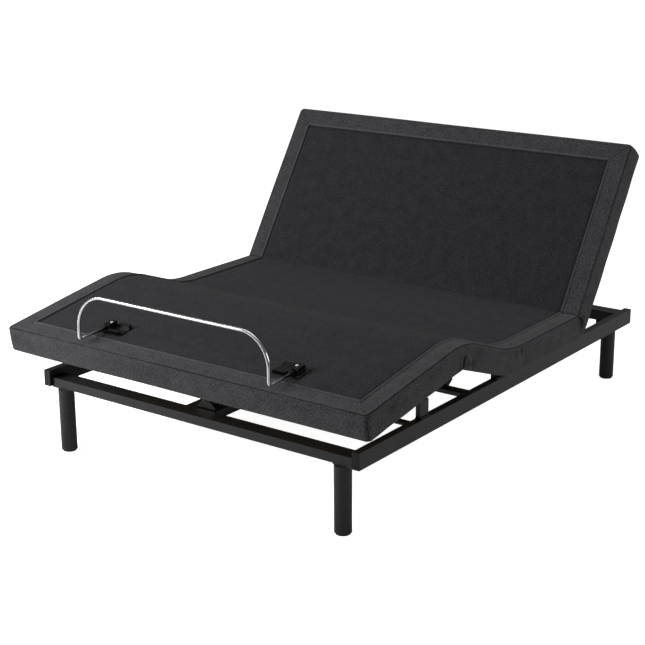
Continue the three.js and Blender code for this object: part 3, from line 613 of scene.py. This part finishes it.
class Nodes:
    """Short way to write a node material."""

    def __init__(self, name):
        self.material = bpy.data.materials.new(name)
        self.material.use_nodes = True
        self.tree = self.material.node_tree
        self.bsdf = self.tree.nodes["Principled BSDF"]

    def add(self, kind, inputs=None, **settings):
        node = self.tree.nodes.new("ShaderNode" + kind)
        for key, value in settings.items():
            setattr(node, key, value)
        for key, value in (inputs or {}).items():
            if isinstance(value, bpy.types.NodeSocket):
                self.tree.links.new(value, node.inputs[key])
            else:
                node.inputs[key].default_value = value
        return node

    def shader(self, **inputs):
        for key, value in inputs.items():
            socket = self.bsdf.inputs[key.replace("_", " ")]
            if isinstance(value, bpy.types.NodeSocket):
                self.tree.links.new(value, socket)
            else:
                socket.default_value = value
        return self.material

    def ramp(self, factor, stops):
        node = self.add("ValToRGB", {"Fac": factor})
        while len(node.color_ramp.elements) < len(stops):
            node.color_ramp.elements.new(0.5)
        for element, (position, color) in zip(node.color_ramp.elements, stops):
            element.position = position
            element.color = (*color, 1) if len(color) == 3 else color
        return node.outputs["Color"]

    def math(self, operation, a, b=0.0):
        return self.add("Math", {0: a, 1: b}, operation=operation).outputs[0]

    def mix(self, factor, a, b, blend="MIX"):
        node = self.add("Mix", data_type="RGBA", blend_type=blend)
        for index, value in ((0, factor), (6, a), (7, b)):
            if isinstance(value, bpy.types.NodeSocket):
                self.tree.links.new(value, node.inputs[index])
            else:
                node.inputs[index].default_value = value
        return node.outputs[2]

    def object_space(self):
        """The object's own coordinates."""
        return self.add("TexCoord").outputs["Object"]

    def noise(self, vector, scale, detail, distortion=0.0):
        """Fractal noise, 0 to 1."""
        inputs = {"Vector": vector, "Scale": scale, "Detail": detail, "Distortion": distortion}
        return self.add("TexNoise", inputs).outputs["Fac"]

    def spread(self, value, low, high):
        """Maps 0 to 1 onto low to high."""
        return self.add("MapRange", {"Value": value, "To Min": low, "To Max": high}).outputs["Result"]

    def two_tone(self, value, tones, low=0.3, high=0.7):
        """The first tone below low, the second above high."""
        return self.ramp(value, [(low, tones[0]), (high, tones[1])])

    def weighted(self, first, *others):
        """Sum of (value, weight) pairs."""
        total = self.math("MULTIPLY", *first)
        for value, weight in others:
            total = self.math("ADD", total, self.math("MULTIPLY", value, weight))
        return total

    def bump(self, height, strength, distance):
        """A normal bent by a height."""
        inputs = {"Height": height, "Strength": strength, "Distance": distance}
        return self.add("Bump", inputs).outputs["Normal"]


def grey(value, warmth=0.0):
    """A near-neutral linear colour."""
    return (value * (1 + warmth), value, value * (1 - warmth), 1)


def cloth_coordinates(nodes, scale_u, scale_v):
    """Cloth coordinates in metres, scaled along and across."""
    uv = nodes.add("UVMap", uv_map="cloth").outputs["UV"]
    return nodes.add("Mapping", {"Vector": uv, "Scale": (scale_u, scale_v, 1)}).outputs["Vector"]


def near(n, value, target, width):
    """1 where value is at target, falling to 0 at width from it."""
    away = n.math("ABSOLUTE", n.math("SUBTRACT", value, target))
    return n.add("MapRange", {"Value": away, "From Min": 0.0, "From Max": width, "To Min": 1.0,
                              "To Max": 0.0}).outputs["Result"]


def border_masks(n):
    """Two masks: the mitre lines of the cover's corners, for painted shade, and the rolled inner edge of the
    border, for a painted highlight.
    """
    place_on_deck = n.add("Attribute", attribute_name="flat").outputs["Vector"]
    flat = n.add("SeparateXYZ", {"Vector": place_on_deck}).outputs
    side = n.math("SUBTRACT", HALF_WIDTH, n.math("ABSOLUTE", flat["X"]))
    foot = n.math("SUBTRACT", flat["Y"], V_FOOT_END)
    head = n.math("SUBTRACT", V_HEAD_END, flat["Y"])
    end = n.math("MINIMUM", foot, head)
    mitre = near(n, n.math("SUBTRACT", side, end), 0.0, MITRE_WIDTH)
    roll_centre = BAND - ROLL_GAP - 1.3 * ROLL_RADIUS
    roll = near(n, n.math("MINIMUM", side, end), roll_centre, 1.2 * ROLL_RADIUS)
    return mitre, roll


def mitred_border(n, color, dark, light):
    """Paints a highlight on the border's rolled inner edge and paints shade along its mitre seams."""
    mitre, roll = border_masks(n)
    # Painted highlight: the rolled inner edge is lightened beyond the light thread.
    rolled = n.mix(n.math("MULTIPLY", roll, ROLL_HIGHLIGHT), color, (*[c * 1.5 for c in light], 1))
    # Painted shade: the mitre seams are darkened below the dark thread.
    return n.mix(n.math("MULTIPLY", mitre, MITRE_SHADE), rolled, (*[c * 0.4 for c in dark], 1))


def woven_fabric(name, dark, light, thread, slub, bump, sheen, mitred=False):
    """Plain weave of uneven threads."""
    n = Nodes(name)
    fine = 0.5 / thread
    long = 1 / slub
    warp = n.noise(cloth_coordinates(n, long, fine), scale=1.0, detail=3.0)
    weft = n.noise(cloth_coordinates(n, fine, long), scale=1.0, detail=3.0)
    checks = n.add("TexChecker", {"Vector": cloth_coordinates(n, 1 / thread, 1 / thread), "Scale": 1.0})
    pick = n.mix(checks.outputs["Fac"], warp, weft)
    heather = n.mix(0.5, warp, weft)
    plain = cloth_coordinates(n, 1, 1)
    blotch = n.noise(plain, scale=22.0, detail=3.0)
    tone = n.weighted((pick, 0.45), (heather, 0.40), (blotch, 0.15))
    cloth = n.two_tone(tone, (dark, light), low=0.40, high=0.60)
    # Painted shade: the cloth is darkened towards its dark thread where the relief sinks it.
    hollow = n.add("Attribute", attribute_name="hollow").outputs["Fac"]
    color = n.mix(n.math("MULTIPLY", hollow, HOLLOW_SHADE), cloth, (*dark, 1), "MULTIPLY")
    if mitred:
        color = mitred_border(n, color, dark, light)
    ribs = []
    for axis in "XY":
        rib = n.add("TexWave", {"Vector": plain, "Scale": fine / math.pi}, bands_direction=axis)
        ribs.append(rib.outputs["Fac"])
    height = n.math("ADD", n.math("MAXIMUM", *ribs), pick)
    relief = n.bump(height, strength=bump, distance=thread * 0.6)
    return n.shader(Base_Color=color, Roughness=0.92, Normal=relief, Sheen_Weight=sheen,
                    Sheen_Roughness=0.5, Specular_IOR_Level=0.08)


def lining_fabric():
    """Thin black non-woven cloth under the deck."""
    n = Nodes("lining")
    fibres = n.noise(n.object_space(), scale=900.0, detail=4.0)
    color = n.two_tone(fibres, LINING_TONES)
    relief = n.bump(fibres, strength=0.4, distance=0.0004)
    return n.shader(Base_Color=color, Roughness=0.95, Normal=relief)


def powder_coat():
    """Black powder coat: fine orange peel, and a painted highlight that lightens the edges a little."""
    n = Nodes("powder_coat")
    spot = n.object_space()
    peel = n.noise(spot, scale=620.0, detail=2.0)
    patches = n.noise(spot, scale=9.0, detail=3.0)
    # Painted highlight along the sharp edges.
    edges = n.add("NewGeometry").outputs["Pointiness"]
    edge_highlight = n.two_tone(edges, ((0, 0, 0), (1, 1, 1)), low=0.50, high=0.62)
    tone = n.mix(patches, grey(COAT_LEVEL * 0.85), grey(COAT_LEVEL * 1.15, 0.01))
    color = n.mix(n.math("MULTIPLY", edge_highlight, 0.35), tone, grey(COAT_LEVEL * 2.2))
    rough = n.spread(patches, COAT_ROUGHNESS - 0.05, COAT_ROUGHNESS + 0.07)
    relief = n.bump(peel, strength=0.18, distance=0.0005)
    return n.shader(Base_Color=color, Roughness=rough, Normal=relief, Specular_IOR_Level=0.35)


def polished_chrome():
    """Bright chrome with faint smears in its polish."""
    n = Nodes("chrome")
    smears = n.noise(n.object_space(), scale=35.0, detail=4.0)
    rough = n.spread(smears, *CHROME_ROUGHNESS)
    return n.shader(Base_Color=n.two_tone(smears, CHROME_TONES), Metallic=1.0, Roughness=rough)


def zinc_plate():
    """Zinc plating on the rods and rams."""
    n = Nodes("zinc")
    grain = n.noise(n.object_space(), scale=160.0, detail=3.0)
    rough = n.spread(grain, *ZINC_ROUGHNESS)
    return n.shader(Base_Color=n.two_tone(grain, ZINC_TONES), Metallic=1.0, Roughness=rough)


def bright_steel():
    """Polished steel of the bolt heads."""
    n = Nodes("bright_steel")
    grain = n.noise(n.object_space(), scale=400.0, detail=2.0)
    return n.shader(Base_Color=n.two_tone(grain, BOLT_TONES), Metallic=0.6, Roughness=0.35)


def moulded_plastic():
    """Black plastic with a fine moulded grain."""
    n = Nodes("black_plastic")
    spot = n.object_space()
    grain = n.add("TexVoronoi", {"Vector": spot, "Scale": 1300.0}).outputs["Distance"]
    cloud = n.noise(spot, scale=40.0, detail=3.0)
    color = n.mix(cloud, grey(PLASTIC_LEVEL * 0.8), grey(PLASTIC_LEVEL * 1.25))
    relief = n.bump(grain, strength=0.15, distance=0.0003)
    return n.shader(Base_Color=color, Roughness=PLASTIC_ROUGHNESS, Normal=relief, Specular_IOR_Level=0.22)


def rubber():
    """Dusty dark rubber of the glides."""
    n = Nodes("rubber")
    dust = n.noise(n.object_space(), scale=220.0, detail=5.0)
    color = n.two_tone(dust, RUBBER_TONES, low=0.35, high=0.75)
    relief = n.bump(dust, strength=0.25, distance=0.0006)
    return n.shader(Base_Color=color, Roughness=0.85, Normal=relief)


def deck_board():
    """Plywood under the foam: long grain with darker bands."""
    n = Nodes("plywood")
    spot = n.object_space()
    stretched = n.add("Mapping", {"Vector": spot, "Scale": (1.2, 26.0, 26.0)}).outputs["Vector"]
    bands = n.noise(stretched, scale=2.0, detail=6.0, distortion=0.6)
    drawn_out = n.add("Mapping", {"Vector": spot, "Scale": (14.0, 700.0, 700.0)}).outputs["Vector"]
    fibres = n.noise(drawn_out, scale=1.0, detail=3.0)
    color = n.two_tone(n.weighted((bands, 0.7), (fibres, 0.3)), PLYWOOD_TONES)
    relief = n.bump(fibres, strength=0.3, distance=0.0005)
    return n.shader(Base_Color=color, Roughness=0.7, Normal=relief)


LOOKS = {look: woven_fabric(**weave) for look, weave in WEAVES.items()}
LOOKS.update({
    "lining": lining_fabric(),
    "steel": powder_coat(),
    "chrome": polished_chrome(),
    "zinc": zinc_plate(),
    "bolt": bright_steel(),
    "plastic": moulded_plastic(),
    "rubber": rubber(),
    "board": deck_board(),
})
# The look of each material slot of the record.
SLOT_LOOK = {
    "cover_fabric": "border", "frame_steel": "steel", "chrome": "chrome", "zinc_steel": "zinc",
    "black_plastic": "plastic", "rubber": "rubber", "deck_board": "board",
}


def dress_cad_nodes():
    """Gives each carried-over node its material and a small rolled edge."""
    slots = {s["node"]: s["material_slot"] for s in frame["record"]["subparts"]}
    for name, node in NODES.items():
        node.data.materials.clear()
        node.data.materials.append(LOOKS[SLOT_LOOK[slots[name]]])
        rolled = node.modifiers.new("rolled_edges", "BEVEL")
        rolled.width = RAIL_EDGE if "rail" in name and "cap" not in name else PLAIN_EDGE
        rolled.segments = EDGE_SEGMENTS
        rolled.limit_method = "ANGLE"
        rolled.angle_limit = EDGE_ANGLE
        rolled.harden_normals = True


# ---------------------------------------------------------------- upholstery pieces

MID_THIGH = -THIGH_RUN / 2
MID_SEAT = SEAT_RUN / 2


def blend_over(cover):
    """Bakes the cover's placement into its mesh."""
    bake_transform(cover)


def make_covers():
    """Three covers, each over one bend of the deck, in place of the four CAD covers."""
    plans = (
        ("foot_cover_cloth", V_FOOT_END, MID_THIGH, "low", ("foot_cover",)),
        ("thigh_cover_cloth", MID_THIGH, MID_SEAT, None, ("thigh_cover",)),
        ("head_cover_cloth", MID_SEAT, V_HEAD_END, "high", ("head_cover", "seat_cover")),
    )
    covers = []
    for name, low, high, free, nodes in plans:
        cover = build_cover(name, low, high, free)
        for look in ("panel", "border", "seam", "lining"):
            cover.data.materials.append(LOOKS[look])
        relieve(cover)
        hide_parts(*nodes)
        covers.append(cover)
    foot, thigh, head = covers
    blend_over(foot)
    blend_over(thigh)
    blend_over(head)


# ---------------------------------------------------------------- mattress retainer


def retainer_line():
    """Centre line from one arm's end over the hoop to the other's, as (u, v, h) points."""
    half = [(BAR_X, ARM_LENGTH, ARM_END_RISE), (BAR_X, ELBOW + ARM_LAND, ARM_RISE - ARM_SAG)]
    for a in np.linspace(0, math.pi / 2, ELBOW_STEPS):
        half.append((BAR_X, ELBOW * (1 - math.sin(a)), ARM_RISE + ELBOW * (1 - math.cos(a))))
    hoop_base = BAR_RISE - BAR_CORNER
    for a in np.linspace(0, math.pi / 2, CORNER_STEPS):
        half.append((BAR_X - BAR_CORNER * (1 - math.cos(a)), 0.0, hoop_base + BAR_CORNER * math.sin(a)))
    half += [(x, 0.0, BAR_RISE) for x in np.linspace(BAR_X - BAR_CORNER, 0, TOP_STEPS)[1:]]
    line = []
    for x, back, up in half:
        over = max(up - ARM_RISE, 0.0)
        lean_back = back + over * math.sin(BAR_LEAN)
        drop = over * (1 - math.cos(BAR_LEAN))
        line.append((x, V_FOOT_END + BAR_SETBACK + lean_back, TOP + up - drop))
    return line + [(-x, v, h) for x, v, h in line[-2::-1]]


def make_retainer_bar():
    """The bent chromed bar: a round tube swept along its centre line."""
    centres = place(*np.array(retainer_line()).T)
    bm = bmesh.new()
    rings = []
    normal = Vector((1, 0, 0))
    for i, centre in enumerate(centres):
        tangent = Vector(centres[min(i + 1, len(centres) - 1)] - centres[max(i - 1, 0)]).normalized()
        if i == 0:
            normal = tangent.orthogonal().normalized()
        normal = (normal - tangent * normal.dot(tangent)).normalized()
        other = tangent.cross(normal)
        angles = [2 * math.pi * k / BAR_SIDES for k in range(BAR_SIDES)]
        spokes = [normal * math.cos(a) + other * math.sin(a) for a in angles]
        rings.append([bm.verts.new(Vector(centre) + BAR_RADIUS * spoke) for spoke in spokes])
    for a, b in zip(rings, rings[1:]):
        for k in range(BAR_SIDES):
            m = (k + 1) % BAR_SIDES
            bm.faces.new((a[k], a[m], b[m], b[k])).smooth = True
    bm.faces.new(rings[0][::-1])
    bm.faces.new(rings[-1])
    bar = new_object(bm, "retainer_bar_polished")
    bar.data.materials.append(LOOKS["chrome"])
    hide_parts("retainer_bar")
    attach(bar, "foot_section")


def lathe(name, profile, centre, tilt):
    """A turned piece: (radius, height) points round an axis that leans by tilt from +Z towards -Y."""
    bm = bmesh.new()
    rotation = Matrix.Rotation(tilt, 3, "X")
    rings = []
    for radius, height in profile:
        angles = [2 * math.pi * i / BOLT_SIDES for i in range(BOLT_SIDES)] if radius else [0.0]
        points = [Vector((radius * math.cos(a), radius * math.sin(a), height)) for a in angles]
        rings.append([bm.verts.new(centre + rotation @ point) for point in points])
    for low_ring, high_ring in zip(rings, rings[1:]):
        for i in range(BOLT_SIDES):
            j = (i + 1) % BOLT_SIDES
            corners = [low_ring[i % len(low_ring)], low_ring[j % len(low_ring)],
                       high_ring[j % len(high_ring)], high_ring[i % len(high_ring)]]
            face = bm.faces.new(list(dict.fromkeys(corners)))
            face.smooth = True
    return new_object(bm, name)


def make_bolts():
    """A bright bolt head on each bracket."""
    for name, side in (("left_bracket_bolt", -1), ("right_bracket_bolt", 1)):
        seat = Vector(place(side * BOLT_X, V_FOOT_END + BOLT_BACK, TOP + BRACKET_HEIGHT))
        bolt = lathe(name, BOLT_PROFILE, seat, FOOT_SLOPE)
        bolt.data.materials.append(LOOKS["bolt"])
        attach(bolt, "foot_section")


# ---------------------------------------------------------------- studio


def set_camera():
    """The photograph's view: where the camera looks, from which angles, how far away, and its roll."""
    back = Vector((math.sin(CAMERA_AZIMUTH) * math.cos(CAMERA_ELEVATION),
                   -math.cos(CAMERA_AZIMUTH) * math.cos(CAMERA_ELEVATION), math.sin(CAMERA_ELEVATION)))
    right = Vector((math.cos(CAMERA_AZIMUTH), math.sin(CAMERA_AZIMUTH), 0))
    up = back.cross(right)
    tilted_right = right * math.cos(CAMERA_ROLL) + up * math.sin(CAMERA_ROLL)
    tilted_up = up * math.cos(CAMERA_ROLL) - right * math.sin(CAMERA_ROLL)
    data = bpy.data.cameras.new("camera")
    data.lens = CAMERA_LENS
    data.sensor_width = CAMERA_SENSOR
    data.clip_end = CAMERA_CLIP_END
    camera = bpy.data.objects.new("camera", data)
    rotation = Matrix((tilted_right, tilted_up, back)).transposed()
    camera.matrix_world = Matrix.Translation(CAMERA_TARGET + back * CAMERA_DISTANCE) @ rotation.to_4x4()
    bpy.context.scene.collection.objects.link(camera)
    bpy.context.scene.camera = camera


def area_light(name, position, target, size, energy):
    """A rectangular soft light that faces a point."""
    data = bpy.data.lights.new(name, "AREA")
    data.shape = "RECTANGLE"
    data.size, data.size_y = size
    data.energy = energy
    light = bpy.data.objects.new(name, data)
    light.location = position
    light.rotation_mode = "QUATERNION"
    light.rotation_quaternion = (Vector(target) - Vector(position)).to_track_quat("-Z", "Y")
    bpy.context.scene.collection.objects.link(light)


def light_world(world):
    """A white backdrop for the camera, and a dimmer sky for lighting and reflections."""
    tree = world.node_tree
    background = tree.nodes["Background"]
    background.inputs["Color"].default_value = (1, 1, 1, 1)
    path = tree.nodes.new("ShaderNodeLightPath")
    strength = tree.nodes.new("ShaderNodeMapRange")
    strength.inputs["To Min"].default_value = SKY_LIGHT
    strength.inputs["To Max"].default_value = 1.0
    tree.links.new(path.outputs["Is Camera Ray"], strength.inputs["Value"])
    tree.links.new(strength.outputs["Result"], background.inputs["Strength"])


def make_studio():
    """A pale floor, the backdrop and the lights."""
    mesh = bpy.data.meshes.new("floor")
    corners = [(x * FLOOR_HALF, y * FLOOR_HALF, 0) for x, y in ((-1, -1), (1, -1), (1, 1), (-1, 1))]
    mesh.from_pydata(corners, [], [(0, 1, 2, 3)])
    floor = bpy.data.objects.new("floor", mesh)
    floor.location.z = -FLOOR_DROP
    bpy.context.scene.collection.objects.link(floor)
    n = Nodes("pale_floor")
    seen = n.add("LightPath").outputs["Is Camera Ray"]
    glow = n.math("MULTIPLY", seen, FLOOR_GLOW)
    mesh.materials.append(n.shader(Base_Color=(0.80, 0.80, 0.80, 1), Roughness=0.9, Specular_IOR_Level=0.1,
                                   Emission_Color=(1, 1, 1, 1), Emission_Strength=glow))
    world = bpy.data.worlds.new("studio")
    world.use_nodes = True
    light_world(world)
    for light in LIGHTS:
        area_light(*light)
    bpy.context.scene.world = world
    bpy.context.scene.view_settings.view_transform = "Standard"


set_camera()
dress_cad_nodes()
make_covers()
make_retainer_bar()
make_bolts()
make_studio()
